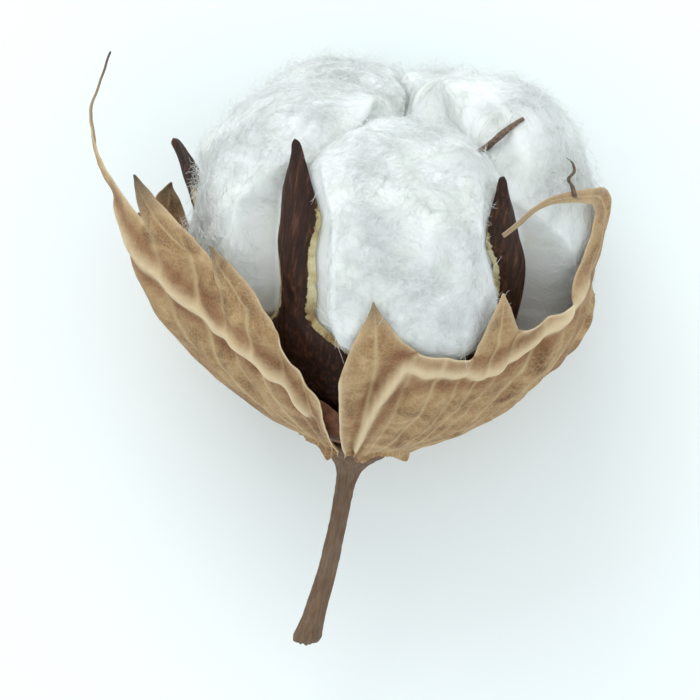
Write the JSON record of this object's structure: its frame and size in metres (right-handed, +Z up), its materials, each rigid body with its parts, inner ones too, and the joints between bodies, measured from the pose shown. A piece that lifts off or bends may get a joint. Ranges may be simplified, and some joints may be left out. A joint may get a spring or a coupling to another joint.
{
  "type": "cotton boll",
  "caption": "Open dry cotton boll with fluffy white lint, woody burr valves, papery toothed bracts and a short stalk, lying on its side.",
  "frame": {"origin": "centre of the bounding box in plan, on the surface that the boll lies on", "axes": "+Z up, +Y roughly along the boll's axis from stalk to lint, +X to its right seen from above"},
  "size_m": [0.0722, 0.0836, 0.0561],
  "materials": {
    "stalk_bark": "matte",
    "dry_calyx": "matte",
    "dry_bract": "matte",
    "burr_wood": "matte",
    "cotton_lint": "matte"
  },
  "bodies": {
    "root": {"peduncle": "stalk_bark", "calyx": "dry_calyx", "bract_left": "dry_bract", "bract_right": "dry_bract", "bract_back": "dry_bract", "bract_sliver": "dry_bract", "valve_1": "burr_wood", "valve_2": "burr_wood", "valve_3": "burr_wood", "valve_4": "burr_wood", "valve_5": "burr_wood", "lock_1": "cotton_lint", "lock_2": "cotton_lint", "lock_3": "cotton_lint", "lock_4": "cotton_lint", "lock_5": "cotton_lint"}
  },
  "joints": []
}
